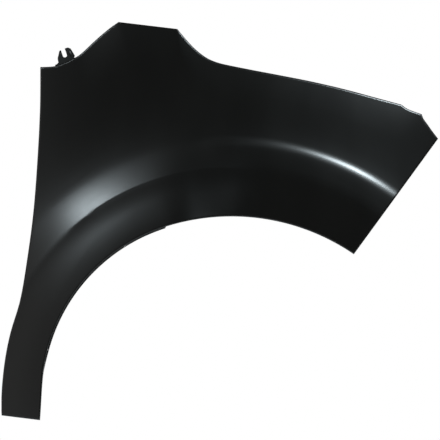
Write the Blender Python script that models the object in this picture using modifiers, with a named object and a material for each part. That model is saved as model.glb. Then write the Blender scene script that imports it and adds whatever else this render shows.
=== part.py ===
"""Right-hand front fender of a small car: one thin steel pressing with folded flanges, and the
small forked bracket that is spot-welded to the flange behind its upper rear corner.

Metres. +X points to the front of the car, +Z up and -Y outboard, so the painted side faces -Y.
Everything is drawn about the wheel's axis. An empty then carries the part so that the origin lies
under the rear pad of the hood-side flange, where the fender first rests on the body's rail.
"""

import math

import bmesh
import bpy
from mathutils import Matrix, Vector

# How far the pressing reaches from the wheel's axis, and the end of its leg.
REAR_REACH = 0.4027
FRONT_REACH = 0.3630
HEIGHT_ABOVE_AXLE = 0.6811
TOE_DROP = 0.0151
TOE_WIDTH = 0.0677
LEG_STRAIGHT = 0.0833

# The sheet and its folded edges.
SHEET = 0.0008
EDGE_BEND = 0.0028
CORNER_RELIEF = 0.0080
FIT_GAP = 0.0003

# Wheel opening: a large arc in front that runs tangentially into a tighter one behind.
ARCH_FRONT_RADIUS = 0.3796
ARCH_REAR_RADIUS = 0.3094
ARCH_DROP = 0.0392
ARCH_JOIN_DEG = 108.7
ARCH_FRONT_END_DEG = 52.0

# Widths of the flare, from the top of the opening out to its feature lines.
LIP_TURN_WIDTH = 0.0281
LIP_CROWN_WIDTH = 0.0715
LIP_WIDTH = 0.0849
SHOULDER_WIDTH = 0.0483
SWEEP_WIDTH = 0.0030
RIDGE_WIDTH = 0.0064

# The feature lines, as radii about the wheel's axis.
OPENING_RADIUS = ARCH_FRONT_RADIUS - ARCH_DROP
LIP_TURN_RADIUS = OPENING_RADIUS + LIP_TURN_WIDTH
LIP_CROWN_RADIUS = OPENING_RADIUS + LIP_CROWN_WIDTH
LOWER_CREASE_RADIUS = OPENING_RADIUS + LIP_WIDTH
UPPER_CREASE_RADIUS = LOWER_CREASE_RADIUS + SHOULDER_WIDTH
SWEEP_RADIUS = UPPER_CREASE_RADIUS + SWEEP_WIDTH

# Half the width over which each feature line turns the surface.
CREASE_SOFTNESS = 0.0022
SHOULDER_SOFTNESS = 0.0400
RIDGE_SOFTNESS = 0.0065
SWEEP_SOFTNESS = 0.0700
LIP_SOFTNESS = 0.0106

# How steeply the flare rises outboard, or falls back, as shares of the run towards the wheel.
SHOULDER_RISE_SHARE = 0.60
CREASE_FALL_SHARE = 0.385
SWEEP_RISE_SHARE = 0.33
RIDGE_RISE_SHARE = 0.70
BAND_RISE_SHARE = 0.26
LIP_RISE_SHARE = 0.19
LIP_TURN_FALL_SHARE = 0.155
FLARE_FRONT_DEG = 78.0
FLARE_REAR_DEG = 111.0

# Crown of the body above the flare, its wrap to the front, its turn at the door and its roll
# over to the hood.
CROWN_RADIUS = 1.60
CROWN_START = 0.420
WRAP_RADIUS = 1.25
WRAP_START = -0.070
DOOR_TURN_RADIUS = 0.51
DOOR_TURN_START = 0.300
CROWN_SOFTNESS = 0.120
ROLL_WIDTH = 0.064
ROLL_RADIUS = 0.870
ROLL_SOFTNESS = 0.006
ROLL_REAR_DEG = 119.0
ROLL_FULL_DEG = 107.0
ROLL_FRONT_DEG = 54.0
ROLL_FRONT_FULL_DEG = 63.0

# Flanges, measured inboard from the edge bend.
DOOR_FLANGE = 0.0130
DOOR_TAB = 0.0190
PILLAR_FLANGE = 0.0270
TOP_FLANGE = 0.0130
LAMP_FLANGE = 0.0120
FRONT_FLANGE = 0.0180
ARCH_FLANGE = 0.0130
ARCH_LEAN = 0.0026
TOE_FLANGE = 0.0240
GUTTER_WIDTH = 0.0090
GUTTER_DEPTH = 0.0140
GUTTER_BEND = 0.0030
RAIL_FLANGE = 0.0120
RAIL_PAD = 0.0130

# Holes.
RAIL_SLOT_WIDTH = 0.0070
RAIL_SLOT_LENGTH = 0.0110
DOOR_HOLE = 0.0072
LINER_HOLE = 0.0056
CLIP_HOLE = 0.0080
TOE_SLOT_WIDTH = 0.0070
TOE_SLOT_LENGTH = 0.0120
CUT_OVERRUN = 0.0050

# Forked bracket.
BRACKET_SHEET = 0.0020
BRACKET_BASE = 0.0200
BRACKET_INSET = 0.0030
FORK_WIDTH = 0.0335
FORK_HEIGHT = 0.0225
FORK_SLOT = 0.0072
FORK_ROOT = 0.0075
FORK_LEAN_DEG = 19.0
BEAD_RADIUS = 0.0014
BEAD_LENGTH = 0.0110

# Counts of the loft.
BEND_STEPS = 3
HOLE_SIDES = 14
CURVE_STEPS = 24
SHARP_DEG = 35
WELD_SHARE = 0.01

# Outline from the toe round to the front corner. x is a share of REAR_REACH behind the axis and of
# FRONT_REACH ahead of it, z a share of HEIGHT_ABOVE_AXLE.
DOOR_EDGE_SHARES = (
    (-0.9978, -0.0108), (-0.9995, 0.018), (-0.9947, 0.0745), (-0.9808, 0.1413), (-0.9587, 0.203),
    (-0.9174, 0.2852), (-0.8878, 0.388), (-0.8609, 0.5113), (-0.8426, 0.6552), (-0.8326, 0.7785),
    (-0.8313, 0.8841),
)
PILLAR_EDGE_SHARES = (
    (-0.8313, 0.8841), (-0.7974, 0.8846), (-0.7627, 0.8869), (-0.7192, 0.8967), (-0.6931, 0.9044),
    (-0.6671, 0.9125), (-0.6450, 0.9230), (-0.5888, 0.9543), (-0.5306, 0.9835), (-0.4911, 1.0),
)
TOP_EDGE_SHARES = ((-0.4911, 1.0), (-0.2355, 0.982))
HOOD_EDGE_SHARES = (
    (-0.2355, 0.982), (-0.2064, 0.9612), (-0.1717, 0.9383), (-0.1369, 0.9198), (-0.1021, 0.9057),
    (-0.0674, 0.897), (-0.0326, 0.8913), (0.0795, 0.8787), (0.2338, 0.8631), (0.3881, 0.8469),
    (0.5424, 0.8279), (0.6966, 0.806), (0.822, 0.7880),
)
LAMP_EDGE_SHARES = ((0.822, 0.7880), (0.851, 0.7770), (0.9198, 0.7636))
CORNER_EDGE_SHARES = ((0.9198, 0.7636), (0.928, 0.7526), (0.9483, 0.7374), (0.9758, 0.7169), (1.0, 0.7004))

# Each run of the outline: its points and how many stations the loft has between its two reliefs.
RUNS = (
    (DOOR_EDGE_SHARES, 14),
    (PILLAR_EDGE_SHARES, 8),
    (TOP_EDGE_SHARES, 3),
    (HOOD_EDGE_SHARES, 17),
    (LAMP_EDGE_SHARES, 1),
    (CORNER_EDGE_SHARES, 2),
)
DOOR, PILLAR, TOP, HOOD, LAMP, CORNER = range(len(RUNS))

# Where a section is too narrow or too wide for a feature line, its row moves to one of these shares of
# the section.
LINE_FLOOR_SHARES = (0.02, 0.04, 0.06, 0.08, 0.10, 0.12, 0.14, 0.16, 0.18, 0.20, 0.22, 0.24, 0.26, 0.28, 0.30)
LINE_CAP_SHARES = (0.10, 0.17, 0.24, 0.31, 0.38, 0.43, 0.48, 0.55, 0.62, 0.68, 0.73, 0.78, 0.82, 0.86, 0.90)
# Rows between the last feature line and the edge.
BODY_ROW_SHARES = (0.16, 0.34, 0.52, 0.68, 0.81, 0.91, 1.0)

# Segments of the runs that carry a bolted pad, tab or hole.
RAIL_PAD_SEGMENTS = (4, 9, 13, 17)
DOOR_TAB_SEGMENTS = (5, 13)
LINER_SEGMENTS = (3, 10, 17, 27, 36, 45)
# Clip holes of the front flange, as shares of its length from the arch up.
FRONT_CLIP_SHARES = (0.22, 0.52, 0.82)

# How far across the rear pad its land lies, clear of the slot.
RAIL_LAND_SHARE = 0.82

# The fork's tines, in the order that their outline is drawn: across it as shares of FORK_WIDTH from
# the middle of the base, up as shares of FORK_HEIGHT. The last pair is the middle of the bead.
FORK_REAR_SHARES = ((-0.34, 0.12), (-0.31, 0.44), (-0.085, 0.97))
FORK_FRONT_SHARES = ((0.39, 1.0), (0.51, 0.84), (0.60, 0.22))
FORK_SLOT_SHARE = 0.105
BEAD_SHARES = (0.41, 0.50)
# Stations of the pillar edge that the bracket's base follows, and the one that the fork stands on.
BRACKET_STATIONS = (2, 3, 4)
FORK_STATION = 3


def clear_scene():
    for item in list(bpy.data.objects):
        bpy.data.objects.remove(item, do_unlink=True)


def make_collection(name):
    group = bpy.data.collections.new(name)
    bpy.context.scene.collection.children.link(group)
    return group


def make_material(name, colour, roughness):
    material = bpy.data.materials.new(name)
    material.use_nodes = True
    shader = material.node_tree.nodes["Principled BSDF"]
    shader.inputs["Base Color"].default_value = (*colour, 1)
    shader.inputs["Roughness"].default_value = roughness
    shader.inputs["Metallic"].default_value = 0
    return material


def fold(x, softness):
    """A ramp that starts at x = 0 and climbs at slope 1, with its start rounded off."""
    return (x + math.hypot(x, softness)) / 2


def blend(x, start, end):
    """0 before start and 1 after end, easing between them."""
    t = min(max((x - start) / (end - start), 0), 1)
    return t * t * (3 - 2 * t)


def polar(point):
    return math.degrees(math.atan2(point.y, point.x)) % 360, point.length


def side_depth(point, edge_gap):
    """How far inboard the outer face lies at a point of the side view, a given way in from the edge."""
    angle, radius = polar(point)
    rear = blend(angle, FLARE_FRONT_DEG, FLARE_REAR_DEG)
    front = 1 - rear
    half_ridge = RIDGE_WIDTH / 2
    rise = rear * (
        SHOULDER_RISE_SHARE * fold(UPPER_CREASE_RADIUS - radius, SHOULDER_SOFTNESS)
        - CREASE_FALL_SHARE * fold(LOWER_CREASE_RADIUS - radius, CREASE_SOFTNESS)
        + LIP_RISE_SHARE * fold(LIP_CROWN_RADIUS - radius, LIP_SOFTNESS)
        - LIP_TURN_FALL_SHARE * fold(LIP_TURN_RADIUS - radius, LIP_SOFTNESS)
    )
    rise += front * (
        SWEEP_RISE_SHARE * fold(SWEEP_RADIUS - radius, SWEEP_SOFTNESS)
        + RIDGE_RISE_SHARE * fold(UPPER_CREASE_RADIUS + half_ridge - radius, RIDGE_SOFTNESS)
        - (SWEEP_RISE_SHARE + RIDGE_RISE_SHARE - BAND_RISE_SHARE)
        * fold(UPPER_CREASE_RADIUS - half_ridge - radius, RIDGE_SOFTNESS)
        - BAND_RISE_SHARE * fold(LOWER_CREASE_RADIUS - radius, SHOULDER_SOFTNESS)
    )
    roll = blend(angle, ROLL_REAR_DEG, ROLL_FULL_DEG) * blend(angle, ROLL_FRONT_DEG, ROLL_FRONT_FULL_DEG)
    fall = (
        fold(point.y - CROWN_START, CROWN_SOFTNESS) ** 2 / (2 * CROWN_RADIUS)
        + fold(point.x - WRAP_START, CROWN_SOFTNESS) ** 2 / (2 * WRAP_RADIUS)
        + fold(-point.x - DOOR_TURN_START, CROWN_SOFTNESS) ** 2 / (2 * DOOR_TURN_RADIUS)
        + roll * fold(ROLL_WIDTH - edge_gap, ROLL_SOFTNESS) ** 2 / (2 * ROLL_RADIUS)
    )
    return fall - rise


def smooth_run(shares):
    """A smooth curve through the points of one run of the outline, in the side view."""
    knots = [
        Vector((x * (REAR_REACH if x < 0 else FRONT_REACH), z * HEIGHT_ABOVE_AXLE)) for x, z in shares
    ]
    before = knots[0] + (knots[0] - knots[1])
    after = knots[-1] + (knots[-1] - knots[-2])
    ends = [before] + knots + [after]
    curve = []
    for a, b, c, d in zip(ends, ends[1:], ends[2:], ends[3:]):
        tangent_b = (c - a) * (c - b).length / ((c - b).length + (b - a).length)
        tangent_c = (d - b) * (c - b).length / ((d - c).length + (c - b).length)
        for step in range(CURVE_STEPS):
            t = step / CURVE_STEPS
            curve.append(
                (2 * t**3 - 3 * t**2 + 1) * b
                + (t**3 - 2 * t**2 + t) * tangent_b
                + (3 * t**2 - 2 * t**3) * c
                + (t**3 - t**2) * tangent_c
            )
    return curve + [knots[-1]]


def place_along(curve, distance):
    """The point at a distance along a polyline."""
    for a, b in zip(curve, curve[1:]):
        length = (b - a).length
        if distance <= length:
            return a.lerp(b, distance / length)
        distance -= length
    return curve[-1].copy()


def outer_stations():
    """Points round the outline where the loft has a section, and the first station of each run."""
    stations, starts = [], []
    for shares, count in RUNS:
        curve = smooth_run(shares)
        length = sum((b - a).length for a, b in zip(curve, curve[1:]))
        starts.append(len(stations))
        stations.append(curve[0])
        span = length - 2 * CORNER_RELIEF
        stations += [place_along(curve, CORNER_RELIEF + span * i / count) for i in range(count + 1)]
    starts.append(len(stations))
    return stations + [curve[-1]], starts


def arc_hit(angle, centre, radius):
    """Where the ray from the wheel's axis at this angle leaves a circle."""
    ray = Vector((math.cos(math.radians(angle)), math.sin(math.radians(angle))))
    reach = ray.dot(centre)
    return ray * (reach + math.sqrt(reach**2 - centre.length_squared + radius**2))


def inner_stations(stations):
    """The matching points along the wheel opening and the inner side of the leg."""
    front_centre = Vector((0, -ARCH_DROP))
    join_ray = Vector((math.cos(math.radians(ARCH_JOIN_DEG)), math.sin(math.radians(ARCH_JOIN_DEG))))
    rear_centre = front_centre + join_ray * (ARCH_FRONT_RADIUS - ARCH_REAR_RADIUS)
    join_angle = polar(front_centre + join_ray * ARCH_FRONT_RADIUS)[0]
    toe = Vector((stations[0].x + TOE_WIDTH, -TOE_DROP))
    knee_height = LEG_STRAIGHT - TOE_DROP - rear_centre.y
    knee = rear_centre + Vector((-math.sqrt(ARCH_REAR_RADIUS**2 - knee_height**2), knee_height))
    knee_angle = polar(knee)[0]
    toe_angle = polar(toe)[0]
    first, last = polar(stations[0])[0], polar(stations[-1])[0]
    points = []
    for station in stations:
        share = (polar(station)[0] - first) / (last - first)
        angle = toe_angle + (ARCH_FRONT_END_DEG - toe_angle) * share
        if angle > knee_angle:
            ray = Vector((math.cos(math.radians(angle)), math.sin(math.radians(angle))))
            run = knee - toe
            points.append(ray * (toe.x * run.y - toe.y * run.x) / (ray.x * run.y - ray.y * run.x))
        elif angle > join_angle:
            points.append(arc_hit(angle, rear_centre, ARCH_REAR_RADIUS))
        else:
            points.append(arc_hit(angle, front_centre, ARCH_FRONT_RADIUS))
    return points


def mitres(loop):
    """For each point of a closed clockwise outline, the vector that moves both its edges out by 1."""
    vectors = []
    for i, point in enumerate(loop):
        normals = []
        for a, b in ((loop[i - 1], point), (point, loop[(i + 1) % len(loop)])):
            edge = (b - a).normalized()
            normals.append(Vector((-edge.y, edge.x)))
        total = normals[0] + normals[1]
        vectors.append(total * 2 / total.length_squared)
    return vectors


def row_radii(inner, outer):
    """Radii of the loft's rows on one section, which follow the feature lines."""
    half_ridge = RIDGE_WIDTH / 2
    ridge_reach = RIDGE_WIDTH + RIDGE_SOFTNESS
    lines = (
        LIP_TURN_RADIUS - LIP_SOFTNESS,
        LIP_TURN_RADIUS + LIP_SOFTNESS / 2,
        LIP_CROWN_RADIUS - LIP_SOFTNESS / 2,
        LIP_CROWN_RADIUS + LIP_SOFTNESS / 2,
        LOWER_CREASE_RADIUS - 2 * CREASE_SOFTNESS,
        LOWER_CREASE_RADIUS,
        LOWER_CREASE_RADIUS + 2 * CREASE_SOFTNESS,
        (LOWER_CREASE_RADIUS + UPPER_CREASE_RADIUS) / 2,
        UPPER_CREASE_RADIUS - ridge_reach,
        UPPER_CREASE_RADIUS - half_ridge,
        UPPER_CREASE_RADIUS,
        UPPER_CREASE_RADIUS + half_ridge,
        UPPER_CREASE_RADIUS + ridge_reach,
        SWEEP_RADIUS + SWEEP_SOFTNESS / 3,
        SWEEP_RADIUS + 2 * SWEEP_SOFTNESS / 3,
    )
    width = outer - inner
    shares = [0.0] + [
        min(max((line - inner) / width, floor), cap)
        for line, floor, cap in zip(lines, LINE_FLOOR_SHARES, LINE_CAP_SHARES)
    ]
    shares += [shares[-1] + (1 - shares[-1]) * share for share in BODY_ROW_SHARES]
    return [inner + width * share for share in shares]


def lift(point, edge_gap):
    """A point of the side view, brought out to the outer face."""
    return Vector((point.x, side_depth(point, edge_gap), point.y))


def build_skin(mesh, stations, arch):
    """The outer face as a loft of sections, inset from the outline by the edge bend.

    Returns its grid of vertices and, for its perimeter, the vertices with their mitres."""
    loop = stations + arch[::-1]
    out = mitres(loop)
    count = len(stations)
    grid = []
    for i in range(count):
        start = arch[i] - out[2 * count - 1 - i] * EDGE_BEND
        end = stations[i] - out[i] * EDGE_BEND
        radii = row_radii(start.length, end.length)
        row = []
        for radius in radii:
            point = start.lerp(end, (radius - radii[0]) / (radii[-1] - radii[0]))
            row.append(mesh.verts.new(lift(point, end.length - point.length)))
        grid.append(row)
    for a, b in zip(grid, grid[1:]):
        for k in range(len(a) - 1):
            mesh.faces.new((a[k], b[k], b[k + 1], a[k + 1]))
    edge = stations[-1] - arch[-1]
    front_out = Vector((edge.y, -edge.x)).normalized()
    edge = stations[0] - arch[0]
    toe_out = Vector((-edge.y, edge.x)).normalized()
    perimeter = [(grid[i][-1], out[i]) for i in range(count)]
    perimeter += [(vertex, front_out) for vertex in grid[-1][-2:0:-1]]
    perimeter += [(grid[i][0], out[2 * count - 1 - i]) for i in reversed(range(count))]
    perimeter += [(vertex, toe_out) for vertex in grid[0][1:-1]]
    return grid, perimeter


def strip_between(mesh, inner, outer, closed=False):
    """Faces between two rows of vertices."""
    pairs = list(zip(inner, outer))
    following = pairs[1:] + (pairs[:1] if closed else [])
    for (a, b), (c, d) in zip(pairs, following):
        mesh.faces.new((a, c, d, b))


def bend_edge(mesh, perimeter):
    """Fold the whole perimeter inboard round the edge bend. Returns the last row of vertices."""
    starts = []
    step = EDGE_BEND / 4
    for vertex, out in perimeter:
        here = Vector((vertex.co.x, vertex.co.z))
        inward = here - out * step
        slope = (side_depth(here, 0) - side_depth(inward, step)) / (out.length * step)
        starts.append(math.atan(slope))
    row = [vertex for vertex, _ in perimeter]
    for k in range(1, BEND_STEPS + 1):
        ring = []
        for (vertex, out), start in zip(perimeter, starts):
            angle = start + (math.pi / 2 - start) * k / BEND_STEPS
            radius = EDGE_BEND / (1 - math.sin(start))
            outward = out * radius * (math.sin(angle) - math.sin(start))
            inboard = radius * (math.cos(start) - math.cos(angle))
            ring.append(mesh.verts.new(vertex.co + Vector((outward.x, inboard, outward.y))))
        strip_between(mesh, row, ring, closed=True)
        row = ring
    return row


def fold_flange(mesh, roots, outs, profile, widen=None):
    """Grow a flange from a row of vertices.

    The profile lists how far each next row lies out from the edge and inboard. The last row goes
    further inboard by widen at the given places."""
    row = roots
    rows = [roots]
    for k, (outward, inboard) in enumerate(profile):
        ring = []
        for i, (root, out) in enumerate(zip(roots, outs)):
            extra = (widen or {}).get(i, 0) if k == len(profile) - 1 else 0
            ring.append(
                mesh.verts.new(root.co + Vector((out.x * outward, inboard + extra, out.y * outward)))
            )
        strip_between(mesh, row, ring)
        row = ring
        rows.append(ring)
    return rows


def hood_profile():
    """The gutter beside the hood, then the rail flange at its foot."""
    floor = GUTTER_WIDTH + GUTTER_BEND
    foot = GUTTER_DEPTH + GUTTER_BEND
    return (
        (0, GUTTER_WIDTH),
        (-GUTTER_BEND, floor),
        (-GUTTER_DEPTH, floor),
        (-foot, floor + GUTTER_BEND),
        (-foot, floor + GUTTER_BEND + RAIL_FLANGE),
    )


def widened(segments, extra):
    """How much deeper a flange is at both ends of the segments that carry a pad or a tab."""
    return {i: extra for segment in segments for i in (segment - 1, segment)}


def seat(rows, index, across):
    """A place on a flange: the middle of one of its segments, a share of the way across, with the
    directions along it and across it."""
    a, b = rows[-2][index], rows[-2][index + 1]
    c, d = rows[-1][index], rows[-1][index + 1]
    near = (a.co + b.co) / 2
    far = (c.co + d.co) / 2
    crosswise = (far - near).normalized()
    along = b.co - a.co
    along = (along - crosswise * along.dot(crosswise)).normalized()
    return near.lerp(far, across), along, crosswise


def segment_at(rows, share):
    """The segment of a flange that holds the place a share of the way along it."""
    near = [vertex.co for vertex in rows[-2]]
    lengths = [(b - a).length for a, b in zip(near, near[1:])]
    passed, index = lengths[0], 0
    while passed < share * sum(lengths):
        index += 1
        passed += lengths[index]
    return index


def add_mesh(name, mesh, group, datum):
    """A named object from a finished bmesh, carried by the datum."""
    data = bpy.data.meshes.new(name)
    mesh.to_mesh(data)
    mesh.free()
    data.shade_smooth()
    data.set_sharp_from_angle(angle=math.radians(SHARP_DEG))
    item = bpy.data.objects.new(name, data)
    item.parent = datum
    group.objects.link(item)
    return item


def make_cutter(name, place, width, length, group, datum):
    """A prism with rounded ends, as long as the slot it cuts, standing square to the sheet."""
    centre, along, across = place
    mesh = bmesh.new()
    bmesh.ops.create_cone(
        mesh, cap_ends=True, segments=HOLE_SIDES, radius1=width / 2, radius2=width / 2,
        depth=2 * (CUT_OVERRUN + SHEET), matrix=Matrix.Rotation(math.pi / HOLE_SIDES, 4, "Z"),
    )
    for vertex in mesh.verts:
        vertex.co.x += math.copysign((length - width) / 2, vertex.co.x)
    cutter = add_mesh(name, mesh, group, datum)
    turn = Matrix((along, across, along.cross(across))).transposed()
    cutter.matrix_basis = Matrix.Translation(centre) @ turn.to_4x4()
    cutter.hide_render = True
    cutter.display_type = "WIRE"
    return cutter


def cut(target, cutters, operation="DIFFERENCE"):
    for cutter in cutters:
        modifier = target.modifiers.new(cutter.name, "BOOLEAN")
        modifier.operation = operation
        modifier.object = cutter
        modifier.solver = "EXACT"


def thicken(item, thickness, offset):
    shell = item.modifiers.new("sheet", "SOLIDIFY")
    shell.thickness = thickness
    shell.offset = offset
    shell.use_even_offset = True
    shell.use_quality_normals = True


def build_panel(group, cutter_group, datum):
    """The pressing: skin, folded edge, flanges and holes."""
    stations, starts = outer_stations()
    arch = inner_stations(stations)
    mesh = bmesh.new()
    grid, perimeter = build_skin(mesh, stations, arch)
    folded = bend_edge(mesh, perimeter)
    outs = [out for _, out in perimeter]

    count, rows = len(stations), len(grid[0])
    front_start = count - 1
    arch_start = front_start + rows - 1
    toe_start = arch_start + count - 1

    def flange(first, last, profile, widen=None):
        return fold_flange(mesh, folded[first:last], outs[first:last], profile, widen)

    def run_flange(run, profile, widen=None):
        return flange(starts[run] + 1, starts[run + 1], profile, widen)

    door = run_flange(DOOR, ((0, DOOR_FLANGE),), widened(DOOR_TAB_SEGMENTS, DOOR_TAB))
    run_flange(PILLAR, ((0, PILLAR_FLANGE),))
    run_flange(TOP, ((0, TOP_FLANGE),))
    rail = run_flange(HOOD, hood_profile(), widened(RAIL_PAD_SEGMENTS, RAIL_PAD))
    run_flange(LAMP, ((0, LAMP_FLANGE),))
    run_flange(CORNER, ((0, LAMP_FLANGE),))
    front = flange(front_start + 2, arch_start - 1, ((0, FRONT_FLANGE),))
    opening = flange(arch_start + 1, toe_start, ((ARCH_LEAN, ARCH_FLANGE),))
    toe = flange(toe_start + 1, len(folded), ((0, TOE_FLANGE),))

    places = {
        ("rail_slot", RAIL_SLOT_WIDTH, RAIL_SLOT_LENGTH): [
            seat(rail, segment - 1, 1 / 2) for segment in RAIL_PAD_SEGMENTS
        ],
        ("door_hole", DOOR_HOLE, DOOR_HOLE): [
            seat(door, segment - 1, 2 / 3) for segment in DOOR_TAB_SEGMENTS
        ],
        ("liner_hole", LINER_HOLE, LINER_HOLE): [
            seat(opening, segment - 1, 1 / 2) for segment in LINER_SEGMENTS
        ],
        ("clip_hole", CLIP_HOLE, CLIP_HOLE): [
            seat(front, segment_at(front, share), 1 / 2) for share in FRONT_CLIP_SHARES
        ],
        ("toe_slot", TOE_SLOT_WIDTH, TOE_SLOT_LENGTH): [seat(toe, segment_at(toe, 1 / 2), 1 / 2)],
    }
    land, along, across = seat(rail, RAIL_PAD_SEGMENTS[0] - 1, RAIL_LAND_SHARE)
    origin = land - along.cross(across) * SHEET
    bracket_seat = [
        (stations[starts[PILLAR] + i], outs[starts[PILLAR] + i], folded[starts[PILLAR] + i].co.y)
        for i in BRACKET_STATIONS
    ]

    panel = add_mesh("fender_panel", mesh, group, datum)
    panel.data.materials.append(make_material("black_coat", (0.012, 0.012, 0.013), 0.33))
    thicken(panel, SHEET, -1)
    cutters = []
    for (name, width, length), found in places.items():
        for i, place in enumerate(found, 1):
            cutters.append(make_cutter(f"{name}_{i}", place, width, length, cutter_group, datum))
    cut(panel, cutters)
    datum.location = -origin
    return bracket_seat


def fork_outline(base_line, foot):
    """Outline of the upright fork in the side view, from its front root round to its rear one."""
    lean = math.radians(FORK_LEAN_DEG)
    across = Vector((math.cos(lean), math.sin(lean)))
    up = Vector((-math.sin(lean), math.cos(lean)))

    def place(x, z):
        return foot + across * x + up * z

    def tine(shares):
        return [place(x * FORK_WIDTH, z * FORK_HEIGHT) for x, z in shares]

    middle = FORK_SLOT_SHARE * FORK_WIDTH
    radius = FORK_SLOT / 2
    rear, front = tine(FORK_REAR_SHARES), tine(FORK_FRONT_SHARES)
    slot = [place(middle - radius, FORK_REAR_SHARES[-1][1] * FORK_HEIGHT)]
    for step in range(HOLE_SIDES // 2 + 1):
        angle = math.pi * step / (HOLE_SIDES // 2)
        slot.append(place(middle - radius * math.cos(angle), FORK_ROOT + radius * (1 - math.sin(angle))))
    slot.append(place(middle + radius, FORK_FRONT_SHARES[0][1] * FORK_HEIGHT))
    bead_place = place(BEAD_SHARES[0] * FORK_WIDTH, BEAD_SHARES[1] * FORK_HEIGHT)
    return base_line[::-1] + rear + slot + front, bead_place


def make_plate(name, outline, thickness, depth, group, datum):
    """A flat plate of this outline, facing outboard, as a mesh that can be joined to another."""
    curve = bpy.data.curves.new(name, "CURVE")
    curve.dimensions = "2D"
    curve.fill_mode = "BOTH"
    curve.extrude = thickness / 2
    spline = curve.splines.new("POLY")
    spline.points.add(len(outline) - 1)
    for point, place in zip(spline.points, outline):
        point.co = (place.x, place.y, 0, 1)
    spline.use_cyclic_u = True
    drawn = bpy.data.objects.new(name, curve)
    group.objects.link(drawn)
    made = bpy.data.meshes.new_from_object(drawn.evaluated_get(bpy.context.evaluated_depsgraph_get()))
    bpy.data.objects.remove(drawn)
    bpy.data.curves.remove(curve)
    mesh = bmesh.new()
    mesh.from_mesh(made)
    bmesh.ops.remove_doubles(mesh, verts=mesh.verts, dist=thickness * WELD_SHARE)
    bpy.data.meshes.remove(made)
    plate = add_mesh(name, mesh, group, datum)
    plate.rotation_euler.x = math.pi / 2
    plate.location.y = depth
    return plate


def build_bracket(bracket_seat, group, cutter_group, datum):
    """The bracket: a base that lies on the pillar flange and a fork that stands up from its inner end."""
    deep = max(depth for _, _, depth in bracket_seat) + BRACKET_INSET
    mesh = bmesh.new()
    near, far = [], []
    for point, out, _ in bracket_seat:
        base = point + out * FIT_GAP
        near.append(mesh.verts.new((base.x, deep, base.y)))
        far.append(mesh.verts.new((base.x, deep + BRACKET_BASE, base.y)))
    strip_between(mesh, near, far)
    bracket = add_mesh("pillar_bracket", mesh, group, datum)
    bracket.data.materials.append(make_material("bracket_coat", (0.014, 0.014, 0.015), 0.42))
    thicken(bracket, BRACKET_SHEET, 1)

    middle = FIT_GAP + BRACKET_SHEET / 2
    line = [point + out * middle for point, out, _ in bracket_seat]
    foot = line[BRACKET_STATIONS.index(FORK_STATION)]
    outline, bead_place = fork_outline(line, foot)
    upright = deep + BRACKET_BASE - BRACKET_SHEET / 2
    fork = make_plate("fork", outline, BRACKET_SHEET, upright, cutter_group, datum)
    mesh = bmesh.new()
    bmesh.ops.create_uvsphere(mesh, u_segments=HOLE_SIDES, v_segments=HOLE_SIDES // 2, radius=BEAD_RADIUS)
    bead = add_mesh("bead", mesh, cutter_group, datum)
    bead.scale.z = BEAD_LENGTH / (2 * BEAD_RADIUS)
    bead.rotation_euler.y = -math.radians(FORK_LEAN_DEG)
    bead.location = (bead_place.x, upright - BRACKET_SHEET / 2, bead_place.y)
    for piece in (fork, bead):
        piece.hide_render = True
        piece.display_type = "WIRE"
    cut(bracket, (fork, bead), "UNION")


def main():
    clear_scene()
    group = make_collection("car_fender")
    cutter_group = make_collection("car_fender_cutters")
    datum = bpy.data.objects.new("fender_datum", None)
    group.objects.link(datum)
    bracket_seat = build_panel(group, cutter_group, datum)
    build_bracket(bracket_seat, group, cutter_group, datum)


main()
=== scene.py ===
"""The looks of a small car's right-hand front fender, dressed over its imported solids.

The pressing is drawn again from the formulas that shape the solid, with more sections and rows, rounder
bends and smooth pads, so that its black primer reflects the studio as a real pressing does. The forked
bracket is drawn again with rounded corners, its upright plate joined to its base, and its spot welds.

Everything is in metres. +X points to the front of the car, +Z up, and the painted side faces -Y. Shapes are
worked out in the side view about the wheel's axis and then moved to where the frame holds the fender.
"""

import logging
import math
from dataclasses import dataclass, field
from enum import Enum
from typing import Any, Sequence

import bmesh
import bpy
from bmesh.types import BMesh
from bpy.types import Material, Node, NodeSocket, NodeTree, Object
from mathutils import Matrix, Vector

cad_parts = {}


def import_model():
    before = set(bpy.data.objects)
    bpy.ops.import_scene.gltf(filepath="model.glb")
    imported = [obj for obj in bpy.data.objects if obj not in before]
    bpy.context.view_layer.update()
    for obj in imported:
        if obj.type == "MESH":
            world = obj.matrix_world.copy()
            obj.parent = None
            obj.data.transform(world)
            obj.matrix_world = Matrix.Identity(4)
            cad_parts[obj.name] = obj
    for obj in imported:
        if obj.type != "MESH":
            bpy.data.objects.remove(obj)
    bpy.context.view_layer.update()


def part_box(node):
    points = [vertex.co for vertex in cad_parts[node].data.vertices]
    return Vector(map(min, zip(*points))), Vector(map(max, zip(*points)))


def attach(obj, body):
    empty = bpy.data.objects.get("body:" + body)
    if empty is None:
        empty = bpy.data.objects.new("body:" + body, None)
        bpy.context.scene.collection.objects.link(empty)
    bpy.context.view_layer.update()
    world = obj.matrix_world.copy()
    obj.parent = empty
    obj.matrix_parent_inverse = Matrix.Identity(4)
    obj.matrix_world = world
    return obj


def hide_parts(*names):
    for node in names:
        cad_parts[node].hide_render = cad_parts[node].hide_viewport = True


LOG = logging.getLogger("car_fender")

ROOT_BODY = "root"
MM = 0.001

Pair = tuple[float, float]
Pairs = tuple[Pair, ...]
Triple = tuple[float, float, float]
Place = tuple[Vector, Vector, Vector]
EdgeStation = tuple[Vector, Vector, float]


def fold(x: float, softness: float) -> float:
    """A ramp that starts at x = 0 and climbs at slope 1, with its start rounded off."""
    return (x + math.hypot(x, softness)) / 2


def blend(x: float, start: float, end: float) -> float:
    """0 before start and 1 after end, easing between them."""
    t = min(max((x - start) / (end - start), 0.0), 1.0)
    return t**3 * (t * (6 * t - 15) + 10)


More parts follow.
